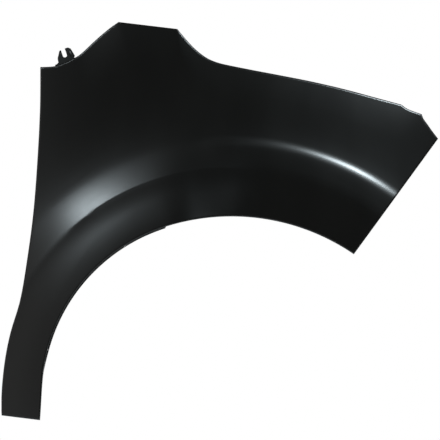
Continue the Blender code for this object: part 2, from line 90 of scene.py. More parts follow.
def polar(point: Vector) -> Pair:
    """Angle in degrees from straight ahead, and radius, of a point of the side view."""
    return math.degrees(math.atan2(point.y, point.x)) % 360, point.length


def heading(degrees: float) -> Vector:
    """The unit vector of the side view at an angle."""
    return Vector((math.cos(math.radians(degrees)), math.sin(math.radians(degrees))))


def linear(colour: str) -> tuple[float, float, float, float]:
    """Turn an sRGB hex colour to the linear values that a shader takes.

    Args:
        colour: The colour as #RRGGBB.

    Returns:
        Linear red, green, blue and an alpha of 1.
    """
    values = [int(colour[i : i + 2], 16) / 255 for i in (1, 3, 5)]
    red, green, blue = [v / 12.92 if v <= 0.04045 else ((v + 0.055) / 1.055) ** 2.4 for v in values]
    return red, green, blue, 1.0


def add_node(tree: NodeTree, kind: str, settings: dict[str, Any] | None = None, **inputs: Any) -> Node:
    """Add one node with its settings, its socket values and its links.

    Args:
        tree: The node tree to add to.
        kind: The node's type, such as ShaderNodeBump.
        settings: Attributes of the node.
        **inputs: For each input socket, a value or the output socket to link it to. A socket is given by
            its name with underscores for spaces, or as _ and its number.

    Returns:
        The new node.
    """
    node = tree.nodes.new(kind)
    for name, value in (settings or {}).items():
        setattr(node, name, value)
    for name, value in inputs.items():
        socket = node.inputs[int(name[1:]) if name[0] == "_" else name.replace("_", " ")]
        if isinstance(value, NodeSocket):
            tree.links.new(value, socket)
        else:
            socket.default_value = value
    return node


def math_node(tree: NodeTree, operation: str, first: Any, second: Any) -> NodeSocket:
    """Add a node that works on two numbers, and give its output."""
    return add_node(tree, "ShaderNodeMath", {"operation": operation}, _0=first, _1=second).outputs[0]


def mix_node(tree: NodeTree, share: Any, first: Any, second: Any) -> NodeSocket:
    """Add a node that mixes two colours, and give its output."""
    settings = {"data_type": "RGBA"}
    return add_node(tree, "ShaderNodeMix", settings, _0=share, _6=first, _7=second).outputs[2]


def range_node(tree: NodeTree, value: Any, taken: Pair, given: Pair = (0.0, 1.0),
               easing: str = "LINEAR") -> NodeSocket:
    """Add a node that turns one range of a value into another.

    Args:
        tree: The node tree to add to.
        value: The output socket to take the value from.
        taken: Both ends of its range.
        given: What those ends become.
        easing: How the values between run.

    Returns:
        The node's output.
    """
    return add_node(
        tree, "ShaderNodeMapRange", {"interpolation_type": easing}, Value=value, From_Min=taken[0],
        From_Max=taken[1], To_Min=given[0], To_Max=given[1],
    ).outputs["Result"]


@dataclass(frozen=True)
class DipPrimer:
    """Black cathodic electrocoat on pressed steel: a thin epoxy film, dipped and stoved.

    The film levels out to a smooth semi-gloss, so it reads as near black with wide soft highlights. Stoving
    leaves a faint orange peel and slightly duller areas where the bath drained.
    """

    name: str
    deep_colour: str
    worn_colour: str
    roughness: Pair
    peel_mm: float = 2.6
    peel_height_mm: float = 0.0035
    drain_mm: float = 90.0
    drain_stretch: float = 0.35
    drain_range: Pair = (0.35, 0.65)
    ior: float = 1.5

    def material(self) -> Material:
        """Make the shader.

        Returns:
            A material whose patterns are sized in real millimetres.
        """
        made = bpy.data.materials.new(self.name)
        made.use_nodes = True
        tree = made.node_tree
        shader = tree.nodes["Principled BSDF"]
        shader.inputs["IOR"].default_value = self.ior
        place = add_node(tree, "ShaderNodeTexCoord").outputs["Object"]
        # Runs of the bath drain downwards, so the duller areas are drawn out along Z.
        drawn = add_node(tree, "ShaderNodeMapping", Vector=place, Scale=(1.0, 1.0, self.drain_stretch))
        drain = add_node(
            tree, "ShaderNodeTexNoise", Vector=drawn.outputs["Vector"], Scale=1 / (self.drain_mm * MM),
            Detail=3.0, Roughness=0.45,
        ).outputs["Fac"]
        dullness = range_node(tree, drain, self.drain_range, self.roughness)
        tint = mix_node(tree, drain, linear(self.deep_colour), linear(self.worn_colour))
        peel = add_node(
            tree, "ShaderNodeTexNoise", Vector=place, Scale=1 / (self.peel_mm * MM), Detail=2.0,
            Roughness=0.4,
        )
        bump = add_node(
            tree, "ShaderNodeBump", Height=peel.outputs["Fac"], Strength=1.0,
            Distance=self.peel_height_mm * MM,
        ).outputs["Normal"]
        for socket, value in (("Base Color", tint), ("Roughness", dullness), ("Normal", bump)):
            tree.links.new(value, shader.inputs[socket])
        return made


class Coat(Enum):
    """The two primers on the part."""

    PANEL = DipPrimer("black_electrocoat_pressing", "#080706", "#0A0907", (0.284, 0.308))
    BRACKET = DipPrimer("black_electrocoat_bracket", "#141413", "#191918", (0.38, 0.46), peel_mm=1.8)


class Side(Enum):
    """The runs of the outline, from the toe round to the front corner."""

    DOOR = 0
    PILLAR = 1
    TOP = 2
    HOOD = 3
    LAMP = 4
    CORNER = 5


@dataclass(frozen=True)
class EdgeRun:
    """One smooth stretch of the outline between two corners.

    Shares are of the reach behind and ahead of the wheel's axis for x, and of the height above it for z.
    Segments is how many the solid has along it, and the pads and holes are placed by them.
    """

    side: Side
    shares: Pairs
    segments: int


@dataclass(frozen=True)
class Outline:
    """The edge of the fender in the side view."""

    rear_reach: float = 0.4027
    front_reach: float = 0.3630
    height: float = 0.6811
    corner_relief: float = 0.0080
    curve_steps: int = 24
    runs: tuple[EdgeRun, ...] = (
        EdgeRun(Side.DOOR, (
            (-0.9978, -0.0108), (-0.9995, 0.018), (-0.9947, 0.0745), (-0.9808, 0.1413), (-0.9587, 0.203),
            (-0.9174, 0.2852), (-0.8878, 0.388), (-0.8609, 0.5113), (-0.8426, 0.6552), (-0.8326, 0.7785),
            (-0.8313, 0.8841),
        ), 14),
        EdgeRun(Side.PILLAR, (
            (-0.8313, 0.8841), (-0.7974, 0.8846), (-0.7627, 0.8869), (-0.7192, 0.8967), (-0.6931, 0.9044),
            (-0.6671, 0.9125), (-0.6450, 0.9230), (-0.5888, 0.9543), (-0.5306, 0.9835), (-0.4911, 1.0),
        ), 8),
        EdgeRun(Side.TOP, ((-0.4911, 1.0), (-0.2355, 0.982)), 3),
        EdgeRun(Side.HOOD, (
            (-0.2355, 0.982), (-0.2064, 0.9612), (-0.1717, 0.9383), (-0.1369, 0.9198), (-0.1021, 0.9057),
            (-0.0674, 0.897), (-0.0326, 0.8913), (0.0795, 0.8787), (0.2338, 0.8631), (0.3881, 0.8469),
            (0.5424, 0.8279), (0.6966, 0.806), (0.822, 0.7880),
        ), 17),
        EdgeRun(Side.LAMP, ((0.822, 0.7880), (0.851, 0.7770), (0.9198, 0.7636)), 1),
        EdgeRun(Side.CORNER, (
            (0.9198, 0.7636), (0.928, 0.7526), (0.9483, 0.7374), (0.9758, 0.7169), (1.0, 0.7004),
        ), 2),
    )

    def curve(self, run: EdgeRun) -> list[Vector]:
        """Draw a smooth curve through the points of one run.

        Args:
            run: The run to draw.

        Returns:
            Close points of the side view along it.
        """
        knots = [
            Vector((x * (self.rear_reach if x < 0 else self.front_reach), z * self.height))
            for x, z in run.shares
        ]
        before = knots[0] + (knots[0] - knots[1])
        after = knots[-1] + (knots[-1] - knots[-2])
        ends = [before, *knots, after]
        drawn = []
        for a, b, c, d in zip(ends, ends[1:], ends[2:], ends[3:]):
            tangent_b = (c - a) * (c - b).length / ((c - b).length + (b - a).length)
            tangent_c = (d - b) * (c - b).length / ((d - c).length + (c - b).length)
            for step in range(self.curve_steps):
                t = step / self.curve_steps
                drawn.append(
                    (2 * t**3 - 3 * t**2 + 1) * b
                    + (t**3 - 2 * t**2 + t) * tangent_b
                    + (3 * t**2 - 2 * t**3) * c
                    + (t**3 - t**2) * tangent_c
                )
        return [*drawn, knots[-1]]

    def stations(self, per_segment: int, per_relief: int) -> tuple[list[Vector], dict[Side, range]]:
        """Place the sections of the loft round the outline.

        Args:
            per_segment: How many sections to each segment of the solid.
            per_relief: How many to each relief beside a corner.

        Returns:
            The points, and for each run the stations that its flange spans, without the reliefs.
        """
        points: list[Vector] = []
        spans = {}
        for run in self.runs:
            curve = self.curve(run)
            length = sum((b - a).length for a, b in zip(curve, curve[1:]))
            relief = [self.corner_relief * i / per_relief for i in range(per_relief)]
            count = run.segments * per_segment
            step = (length - 2 * self.corner_relief) / count
            between = [self.corner_relief + step * i for i in range(count + 1)]
            first = len(points) + per_relief
            spans[run.side] = range(first, first + count + 1)
            distances = relief + between + [length - d for d in reversed(relief[1:])]
            points += [self.along(curve, distance) for distance in distances]
        return points + [self.along(curve, length)], spans

    @staticmethod
    def along(curve: list[Vector], distance: float) -> Vector:
        """Measure a distance along a polyline.

        Args:
            curve: The polyline.
            distance: How far to go from its start.

        Returns:
            The point there, or the last one.
        """
        for a, b in zip(curve, curve[1:]):
            length = (b - a).length
            if distance <= length:
                return a.lerp(b, distance / length)
            distance -= length
        return curve[-1].copy()


@dataclass(frozen=True)
class WheelOpening:
    """The opening: a large arc in front that runs tangentially into a tighter one behind, then the leg."""

    front_radius: float = 0.3796
    rear_radius: float = 0.3094
    drop: float = 0.0392
    join_deg: float = 108.7
    front_end_deg: float = 52.0
    toe_drop: float = 0.0151
    toe_width: float = 0.0677
    leg_straight: float = 0.0833

    @staticmethod
    def hit(angle: float, centre: Vector, radius: float) -> Vector:
        """Follow a ray from the wheel's axis to where it leaves a circle.

        Args:
            angle: The ray's angle in degrees.
            centre: The circle's centre.
            radius: Its radius.

        Returns:
            The point on the circle.
        """
        ray = heading(angle)
        reach = ray.dot(centre)
        return ray * (reach + math.sqrt(reach**2 - centre.length_squared + radius**2))

    def stations(self, outer: list[Vector]) -> list[Vector]:
        """Place the inner end of each section.

        Args:
            outer: The sections' outer ends, from the toe round to the front corner.

        Returns:
            The matching points along the inner side of the leg and the opening.
        """
        front_centre = Vector((0.0, -self.drop))
        rear_centre = front_centre + heading(self.join_deg) * (self.front_radius - self.rear_radius)
        join_angle = polar(front_centre + heading(self.join_deg) * self.front_radius)[0]
        toe = Vector((outer[0].x + self.toe_width, -self.toe_drop))
        knee_height = self.leg_straight - self.toe_drop - rear_centre.y
        knee_run = math.sqrt(self.rear_radius**2 - knee_height**2)
        knee = rear_centre + Vector((-knee_run, knee_height))
        knee_angle, toe_angle = polar(knee)[0], polar(toe)[0]
        first, last = polar(outer[0])[0], polar(outer[-1])[0]
        points = []
        for station in outer:
            share = (polar(station)[0] - first) / (last - first)
            angle = toe_angle + (self.front_end_deg - toe_angle) * share
            if angle > knee_angle:
                ray, run = heading(angle), knee - toe
                points.append(ray * (toe.x * run.y - toe.y * run.x) / (ray.x * run.y - ray.y * run.x))
            elif angle > join_angle:
                points.append(self.hit(angle, rear_centre, self.rear_radius))
            else:
                points.append(self.hit(angle, front_centre, self.front_radius))
        return points


@dataclass(frozen=True)
class Flare:
    """How the sheet rises outboard towards the wheel: a wide shoulder behind, a narrow ridge in front.

    The first six are radii from the wheel's axis: of the lip's inward turn and soft crown, of the sharp lower
    crease, of the upper line, which edges the shoulder behind and is the middle of the ridge in front, and of
    where the shoulder and the sweep in front start to rise. Rises and falls are per run towards the wheel.
    """

    lip_turn: float = 0.3711
    lip_crown: float = 0.4137
    lower: float = 0.4254
    upper: float = 0.4736
    shoulder: float = 0.4850
    sweep: float = 0.4702
    ridge_width: float = 0.0045
    crease_softness: float = 0.0018
    shoulder_softness: float = 0.0887
    edge_softness: float = 0.0098
    ridge_softness: float = 0.0068
    sweep_softness: float = 0.1199
    band_softness: float = 0.0228
    lip_softness: float = 0.0250
    shoulder_rise: float = 0.442
    edge_rise: float = 0.094
    crease_fall: float = 0.339
    sweep_rise: float = 0.383
    ridge_rise: float = 1.00
    band_rise: float = 0.322
    lip_rise: float = 0.314
    lip_turn_fall: float = 0.258
    front_deg: float = 79.0
    rear_deg: float = 110.2
    lip_front_deg: float = 49.8
    lip_rear_deg: float = 112.3
    ridge_front_deg: float = 88.3
    ridge_rear_deg: float = 101.3
    ridge_drift: float = 0.00018
    ridge_drift_deg: float = 66.0
    ridge_drift_limit: float = 5.0
    ridge_drift_softness: float = 4.0

    def drift(self, angle: float) -> float:
        """How far outside its circle the ridge runs.

        Args:
            angle: Angle about the wheel's axis, in degrees.

        Returns:
            The distance in metres, a little below 0 above the wheel.
        """
        limit = self.ridge_drift_limit
        ahead = fold(self.ridge_drift_deg + limit - angle, self.ridge_drift_softness)
        return self.ridge_drift * (ahead - limit)

    def rise(self, angle: float, radius: float) -> float:
        """How far the flare stands out from the body's plain side.

        Args:
            angle: Angle about the wheel's axis, in degrees.
            radius: Distance from the wheel's axis.

        Returns:
            The rise in metres.
        """
        rear = blend(angle, self.front_deg, self.rear_deg)
        crest = 1 - blend(angle, self.ridge_front_deg, self.ridge_rear_deg)
        half = self.ridge_width / 2
        ridge = self.upper + self.drift(angle)
        inner_flank = fold(ridge - half - radius, self.ridge_softness)
        outer_flank = fold(ridge + half - radius, self.ridge_softness)
        behind = (
            self.shoulder_rise * fold(self.shoulder - radius, self.shoulder_softness)
            + self.edge_rise * fold(self.upper - radius, self.edge_softness)
            - self.crease_fall * fold(self.lower - radius, self.crease_softness)
        )
        ahead = (
            self.sweep_rise * fold(self.sweep - radius, self.sweep_softness)
            - (self.sweep_rise - self.band_rise) * inner_flank
            - self.band_rise * fold(self.lower - radius, self.band_softness)
        )
        lip = (
            self.lip_rise * fold(self.lip_crown - radius, self.lip_softness)
            - self.lip_turn_fall * fold(self.lip_turn - radius, self.lip_softness)
        )
        lip *= blend(angle, self.lip_front_deg, self.lip_rear_deg)
        crest *= self.ridge_rise * (outer_flank - inner_flank)
        return rear * behind + (1 - rear) * ahead + lip + crest

    def lines(self, angle: float) -> list[float]:
        """Where the rows run that follow the feature lines.

        Args:
            angle: Angle about the wheel's axis, in degrees.

        Returns:
            Their radii there, from the wheel out.
        """
        ridge = self.upper + self.drift(angle)
        half, reach = self.ridge_width / 2, self.ridge_width + self.ridge_softness
        lip, crease, sweep = self.lip_softness / 2, 2 * self.crease_softness, self.sweep_softness / 3
        return [
            self.lip_turn - 2 * lip, self.lip_turn + lip, self.lip_crown - lip, self.lip_crown + lip,
            self.lower - crease, self.lower, self.lower + crease, (self.lower + self.upper) / 2,
            ridge - reach, ridge - half, ridge, ridge + half, ridge + reach,
            self.sweep + sweep, self.sweep + 2 * sweep,
        ]


@dataclass(frozen=True)
class BodySide:
    """The plain side of the body, and how it falls away inboard towards its edges.

    Each turn has the place where it starts, the softness of its start and its radius. The roll is measured
    outward from the outline.
    """

    crown: Triple = (0.557, 0.246, 1.73)
    wrap: Triple = (-0.069, 0.197, 1.36)
    door_turn: Triple = (0.253, 0.061, 0.717)
    roll: Triple = (-0.065, 0.004, 0.627)
    roll_rear_deg: Pair = (119.0, 107.0)
    roll_front_deg: Pair = (54.0, 63.0)

    def fall(self, point: Vector, edge_gap: float) -> float:
        """How far inboard the plain side lies.

        Args:
            point: A point of the side view.
            edge_gap: How far in from the outline it is.

        Returns:
            The depth in metres, which grows towards the roof, the nose, the door and the hood's edge.
        """
        angle = polar(point)[0]
        rolled = blend(angle, *self.roll_rear_deg) * blend(angle, *self.roll_front_deg)
        turns = (
            (point.y, self.crown, 1.0), (point.x, self.wrap, 1.0), (-point.x, self.door_turn, 1.0),
            (-edge_gap, self.roll, rolled),
        )
        return sum(
            share * fold(run - start, softness) ** 2 / (2 * radius)
            for run, (start, softness, radius), share in turns
        )


@dataclass(frozen=True)
class Flanges:
    """The folded edges: how deep each is inboard of the edge bend, and the shape of the gutter."""

    door: float = 0.0130
    door_tab: float = 0.0190
    pillar: float = 0.0270
    top: float = 0.0130
    lamp: float = 0.0120
    front: float = 0.0180
    opening: float = 0.0130
    opening_lean: float = 0.0026
    opening_lean_from_deg: float = 109.6
    opening_lean_fade_deg: Pair = (160.0, 175.0)
    toe: float = 0.0240
    gutter_width: float = 0.0090
    gutter_depth: float = 0.0140
    gutter_bend: float = 0.0030
    rail: float = 0.0120
    rail_pad: float = 0.0130
    bend_steps: int = 5
    rail_pad_segments: tuple[int, ...] = (4, 9, 13, 17)
    door_tab_segments: tuple[int, ...] = (5, 13)

    @staticmethod
    def straight(depth: float, lean: float = 0.0) -> Pairs:
        """The profile of a plain flange: for each row, how far it lies out from the edge and inboard."""
        return (lean / 2, depth / 2), (lean, depth)

    def gutter(self) -> list[Pair]:
        """Draw the gutter beside the hood and the rail flange at its foot.

        Returns:
            For each row, how far it lies out from the edge and how far inboard.
        """
        bend = self.gutter_bend
        turns = [math.pi / 2 * i / self.bend_steps for i in range(self.bend_steps + 1)]
        foot = self.gutter_width + bend + bend
        upper = [(bend * (math.cos(t) - 1), self.gutter_width + bend * math.sin(t)) for t in turns]
        lower = [(-self.gutter_depth - bend * math.sin(t), foot - bend * math.cos(t)) for t in turns]
        end = lower[-1][0]
        return upper + lower + [(end, foot + self.rail / 2), (end, foot + self.rail)]


@dataclass(frozen=True)
class Holes:
    """The holes and slots of the flanges, as widths and lengths."""

    rail: Pair = (0.0070, 0.0110)
    door: Pair = (0.0072, 0.0072)
    liner: Pair = (0.0056, 0.0056)
    clip: Pair = (0.0080, 0.0080)
    toe: Pair = (0.0070, 0.0120)
    tab_share: float = 2 / 3
    overrun: float = 0.0050
    sides: int = 32
    liner_segments: tuple[int, ...] = (3, 10, 17, 27, 36, 45)
    clip_shares: tuple[float, ...] = (0.22, 0.52, 0.82)


def smooth(item: Object, sharp_deg: float) -> None:
    """Shade an object smooth, apart from the edges that turn by more than sharp_deg."""
    item.data.shade_smooth()
    item.data.set_sharp_from_angle(angle=math.radians(sharp_deg))


def show(item: Object) -> None:
    """Link an object to the scene."""
    bpy.context.scene.collection.objects.link(item)


def mesh_object(name: str, mesh: BMesh, sharp_deg: float) -> Object:
    """Make a smooth-shaded object of a finished bmesh.

    Args:
        name: The object's name.
        mesh: Its shape, which is freed.
        sharp_deg: Edges that turn by more than this stay sharp.

    Returns:
        The object, linked to the scene.
    """
    made = bpy.data.objects.new(name, bpy.data.meshes.new(name))
    mesh.to_mesh(made.data)
    mesh.free()
    smooth(made, sharp_deg)
    show(made)
    return made


def settle(item: Object) -> None:
    """Make what an object's modifiers show its own mesh.

    Args:
        item: The object.
    """
    graph = bpy.context.evaluated_depsgraph_get()
    item.data = bpy.data.meshes.new_from_object(item.evaluated_get(graph), depsgraph=graph)
    item.modifiers.clear()


def thicken(item: Object, sheet: float, offset: float) -> None:
    """Give an open mesh the thickness of its sheet.

    Args:
        item: The object.
        sheet: The thickness.
        offset: 1 to grow it on the side that its faces look to, -1 on the other.
    """
    shell = item.modifiers.new("sheet", "SOLIDIFY")
    shell.thickness = sheet
    shell.offset = offset
    shell.use_even_offset = True
    shell.use_quality_normals = True
    settle(item)


def combine(item: Object, tools: list[Object], operation: str) -> None:
    """Cut, or join, an object with others, which are then removed.

    Args:
        item: The object that changes.
        tools: The cutters or the shapes to join.
        operation: DIFFERENCE or UNION.
    """
    group = bpy.data.collections.new("tools")
    for tool in tools:
        group.objects.link(tool)
    modifier = item.modifiers.new("tools", "BOOLEAN")
    modifier.operation = operation
    modifier.operand_type = "COLLECTION"
    modifier.collection = group
    modifier.solver = "EXACT"
    bpy.context.view_layer.update()
    settle(item)
    for tool in tools:
        bpy.data.objects.remove(tool)
    bpy.data.collections.remove(group)


def strip_between(mesh: BMesh, inner: Sequence, outer: Sequence, closed: bool = False) -> None:
    """Fill the band between two rows of vertices.

    Args:
        mesh: The mesh to add to.
        inner: The first row.
        outer: The second row.
        closed: Whether the rows are rings.
    """
    pairs = list(zip(inner, outer))
    following = pairs[1:] + (pairs[:1] if closed else [])
    for (a, b), (c, d) in zip(pairs, following):
        mesh.faces.new((a, c, d, b))


@dataclass
class FenderPanel:
    """The pressing: skin, folded edge, flanges and holes, in one thin sheet."""

    node: str = "fender_panel"
    sheet: float = 0.0008
    edge_bend: float = 0.0028
    hood_bend: float = 0.0032
    edge_bend_steps: int = 6
    per_segment: int = 4
    per_relief: int = 1
    per_row: int = 3
    sharp_deg: float = 35.0
    edge_row_gaps: tuple[float, ...] = (0.006, 0.0022, 0.0007)
    line_floor_step: float = 0.02
    least_row_share: float = 0.4
    line_cap_shares: tuple[float, ...] = (
        0.10, 0.17, 0.24, 0.31, 0.38, 0.43, 0.48, 0.55, 0.62, 0.68, 0.73, 0.78, 0.82, 0.86, 0.90,
    )
    body_row_shares: tuple[float, ...] = (0.16, 0.34, 0.52, 0.68, 0.81, 0.91, 1.0)
    outline: Outline = field(default_factory=Outline)
    opening: WheelOpening = field(default_factory=WheelOpening)
    flare: Flare = field(default_factory=Flare)
    side: BodySide = field(default_factory=BodySide)
    flanges: Flanges = field(default_factory=Flanges)
    holes: Holes = field(default_factory=Holes)

    def depth(self, point: Vector, edge_gap: float) -> float:
        """How far inboard the outer face lies at a point of the side view, a given way in from the edge."""
        angle, radius = polar(point)
        return self.side.fall(point, edge_gap) - self.flare.rise(angle, radius)

    def lift(self, point: Vector, edge_gap: float) -> Vector:
        """A point of the side view, brought out to the outer face."""
        return Vector((point.x, self.depth(point, edge_gap), point.y))

    @staticmethod
    def mitres(loop: list[Vector]) -> list[Vector]:
        """Find how the corners of a closed outline move when its edges move out.

        Args:
            loop: The outline, clockwise.

        Returns:
            For each point, the vector that moves both its edges out by 1.
        """
        vectors = []
        for i, point in enumerate(loop):
            normals = []
            for a, b in ((loop[i - 1], point), (point, loop[(i + 1) % len(loop)])):
                edge = (b - a).normalized()
                normals.append(Vector((-edge.y, edge.x)))
            total = normals[0] + normals[1]
            vectors.append(total * 2 / total.length_squared)
        return vectors

    def row_radii(self, inner: float, outer: float, angle: float) -> list[float]:
        """Radii of the loft's rows on one section.

        Args:
            inner: Radius of the section's inner end.
            outer: Radius of its outer end.
            angle: Angle of the section about the wheel's axis, in degrees.

        Returns:
            Radii from the wheel out, which follow the feature lines and crowd up beside both bends.
        """
        width = outer - inner
        shares = [0.0]
        for k, (line, cap) in enumerate(zip(self.flare.lines(angle), self.line_cap_shares), 1):
            shares.append(min(max((line - inner) / width, k * self.line_floor_step), cap))
        shares += [shares[-1] + (1 - shares[-1]) * share for share in self.body_row_shares]
        fine = [
            a + (b - a) * step / self.per_row
            for a, b in zip(shares, shares[1:]) for step in range(self.per_row)
        ]
        radii = [inner + width * share for share in fine] + [outer]
        gaps = self.edge_row_gaps
        first, last = radii[1] - inner, outer - radii[-2]
        start = [inner + min(gap, first / 2 * gap / gaps[0]) for gap in reversed(gaps)]
        end = [outer - min(gap, last / 2 * gap / gaps[0]) for gap in gaps]
        radii = radii[:1] + start + radii[1:-1] + end + radii[-1:]
        least = self.least_row_share * width / len(radii)
        for k in range(1, len(radii) - 1):
            radii[k] = max(radii[k], radii[k - 1] + least)
        for k in reversed(range(1, len(radii) - 1)):
            radii[k] = min(radii[k], radii[k + 1] - least)
        return radii

    def bends(self, count: int, hood: Sequence[int]) -> list[float]:
        """The radius of the edge bend at each section's outer end.

        Args:
            count: How many sections there are.
            hood: The sections beside the hood, where the bend is softer.

        Returns:
            A radius for each section, with an easy change at both ends of the hood's run.
        """
        sizes = [self.edge_bend] * count
        for i, section in enumerate(hood):
            ease = blend(min(i, len(hood) - 1 - i), 0, self.per_segment)
            sizes[section] += (self.hood_bend - self.edge_bend) * ease
        return sizes

    def skin(self, mesh: BMesh, outer: list[Vector], inner: list[Vector],
             bends: list[float]) -> tuple[list, list]:
        """Loft the outer face, inset from the outline by the edge bend.

        Args:
            mesh: The mesh to add to.
            outer: The sections' outer ends.
            inner: Their inner ends.
            bends: The radius of the bend at each outer end.

        Returns:
            The grid of vertices and, for its perimeter, the vertices with their mitres.
        """
        out = self.mitres(outer + inner[::-1])
        count = len(outer)
        grid = []
        for i in range(count):
            start = inner[i] - out[2 * count - 1 - i] * self.edge_bend
            end = outer[i] - out[i] * bends[i]
            radii = self.row_radii(start.length, end.length, polar(start.lerp(end, 0.5))[0])
            row = []
            for radius in radii:
                point = start.lerp(end, (radius - radii[0]) / (radii[-1] - radii[0]))
                row.append(mesh.verts.new(self.lift(point, end.length - point.length)))
            grid.append(row)
        for a, b in zip(grid, grid[1:]):
            for k in range(len(a) - 1):
                mesh.faces.new((a[k], b[k], b[k + 1], a[k + 1]))
        front = outer[-1] - inner[-1]
        toe = outer[0] - inner[0]
        front_out = Vector((front.y, -front.x)).normalized()
        toe_out = Vector((-toe.y, toe.x)).normalized()
        perimeter = [(grid[i][-1], out[i]) for i in range(count)]
        perimeter += [(vertex, front_out) for vertex in grid[-1][-2:0:-1]]
        perimeter += [(grid[i][0], out[2 * count - 1 - i]) for i in reversed(range(count))]
        perimeter += [(vertex, toe_out) for vertex in grid[0][1:-1]]
        return grid, perimeter

    def bend(self, mesh: BMesh, perimeter: list, bends: list[float]) -> list:
        """Fold the whole perimeter inboard round the edge bend.

        Args:
            mesh: The mesh to add to.
            perimeter: The skin's edge vertices with their mitres.
            bends: The radius of the bend at each of them.

        Returns:
            The last ring of vertices.
        """
        starts = []
        for (vertex, out), size in zip(perimeter, bends):
            step = size / 4
            here = Vector((vertex.co.x, vertex.co.z))
            slope = (self.depth(here, 0.0) - self.depth(here - out * step, step)) / (out.length * step)
            starts.append(math.atan(slope))
        row = [vertex for vertex, _ in perimeter]
        for k in range(1, self.edge_bend_steps + 1):
            ring = []
            for (vertex, out), start, size in zip(perimeter, starts, bends):
                angle = start + (math.pi / 2 - start) * k / self.edge_bend_steps
                radius = size / (1 - math.sin(start))
                outward = out * radius * (math.sin(angle) - math.sin(start))
                inboard = radius * (math.cos(start) - math.cos(angle))
                ring.append(mesh.verts.new(vertex.co + Vector((outward.x, inboard, outward.y))))
            strip_between(mesh, row, ring, closed=True)
            row = ring
        return row

    def bulge(self, index: int, segments: Sequence[int]) -> float:
        """How much of a pad or tab a station of a run carries.

        Args:
            index: The station, counted from the run's first relief.
            segments: The segments of the solid that hold the pads.

        Returns:
            0 beside the pads, 1 on them, with an easy curve between.
        """
        place = index / self.per_segment
        shares = (
            blend(place, segment - 2, segment - 1) * (1 - blend(place, segment, segment + 1))
            for segment in segments
        )
        return max(shares, default=0.0)

    @staticmethod
    def flange(mesh: BMesh, roots: list, profile: Sequence[Pair], pads: Sequence[float] = (),
               sunk: Sequence[float] = (), leans: Sequence[float] = ()) -> list[list]:
        """Grow a flange from a row of vertices.

        Args:
            mesh: The mesh to add to.
            roots: The vertices it grows from, with their mitres.
            profile: For each next row, how far it lies out from the edge and inboard.
            pads: How much further inboard the last row goes at each station.
            sunk: How far inboard of its usual place the root already lies at each station.
            leans: The share of the profile's outward reach that each station takes.

        Returns:
            The rows of vertices, the roots first.
        """
        plain = [0.0] * len(roots)
        rows = [[vertex for vertex, _ in roots]]
        for k, (outward, inboard) in enumerate(profile, 1):
            tips = pads if pads and k == len(profile) else plain
            ring = []
            for (root, out), tip, drop, lean in zip(roots, tips, sunk or plain, leans or [1.0] * len(roots)):
                deep, reach = inboard + tip - drop, outward * lean
                ring.append(mesh.verts.new(root.co + Vector((out.x * reach, deep, out.y * reach))))
            strip_between(mesh, rows[-1], ring)
            rows.append(ring)
        return rows

    @staticmethod
    def seat(near_row: list, far_row: list, first: int, last: int, across: float = 0.5) -> Place:
        """A place on a flange for a hole.

        Args:
            near_row: The row at the flange's root.
            far_row: The row at its free edge.
            first: The station before the hole.
            last: The station past it.
            across: A share of the way from root to edge.

        Returns:
            The point midway between the stations, with the directions along the flange and across it.
        """
        near, far = (row[first].co.lerp(row[last].co, 0.5) for row in (near_row, far_row))
        crosswise = (far - near).normalized()
        along = near_row[last].co - near_row[first].co
        along = (along - crosswise * along.dot(crosswise)).normalized()
        return near.lerp(far, across), along, crosswise

    def segment_seat(self, near_row: list, far_row: list, segment: int, across: float = 0.5) -> Place:
        """A place for a hole in the middle of one of the solid's segments."""
        last = segment * self.per_segment
        return self.seat(near_row, far_row, last - self.per_segment, last, across)

    def share_seat(self, rows: list[list], share: float) -> Place:
        """A place for a hole midway down a flange.

        Args:
            rows: The flange's rows, from root to edge.
            share: How far along it the hole is.

        Returns:
            The point, with the directions along the flange and across it.
        """
        lengths = [(b.co - a.co).length for a, b in zip(rows[0], rows[0][1:])]
        passed, index = lengths[0], 0
        while passed < share * sum(lengths):
            index += 1
            passed += lengths[index]
        reach = max(self.per_row // 2, 1)
        return self.seat(rows[0], rows[-1], max(index - reach, 0), min(index + reach, len(lengths)))

    def cutter(self, place: Place, width: float, length: float) -> Object:
        """Make the prism that cuts one hole or slot square through the sheet.

        Args:
            place: The hole's middle, with the directions along it and across it.
            width: Its width.
            length: Its length between the rounded ends.

        Returns:
            The cutter.
        """
        centre, along, across = place
        mesh = bmesh.new()
        bmesh.ops.create_cone(
            mesh, cap_ends=True, segments=self.holes.sides, radius1=width / 2, radius2=width / 2,
            depth=2 * (self.holes.overrun + self.sheet),
            matrix=Matrix.Rotation(math.pi / self.holes.sides, 4, "Z"),
        )
        for vertex in mesh.verts:
            vertex.co.x += math.copysign((length - width) / 2, vertex.co.x)
        turn = Matrix((along, across, along.cross(across))).transposed()
        mesh.transform(Matrix.Translation(centre) @ turn.to_4x4())
        return mesh_object("cutter", mesh, self.sharp_deg)

    def build(self) -> tuple[Object, list[EdgeStation]]:
        """Make the pressing about the wheel's axis.

        Returns:
            The object, and for each station of the pillar's edge its point, its mitre and its depth.
        """
        outer, spans = self.outline.stations(self.per_segment, self.per_relief)
        inner = self.opening.stations(outer)
        mesh = bmesh.new()
        count = len(outer)
        bends = self.bends(count, spans[Side.HOOD])
        grid, perimeter = self.skin(mesh, outer, inner, bends)
        bends += [self.edge_bend] * (len(perimeter) - count)
        folded = [(vertex, out) for vertex, (_, out) in zip(self.bend(mesh, perimeter, bends), perimeter)]
        rows = len(grid[0])
        margin = self.per_row + len(self.edge_row_gaps)
        front_start = count - 1
        arch_start = front_start + rows - 1
        toe_start = arch_start + count - 1
        fl, holes = self.flanges, self.holes

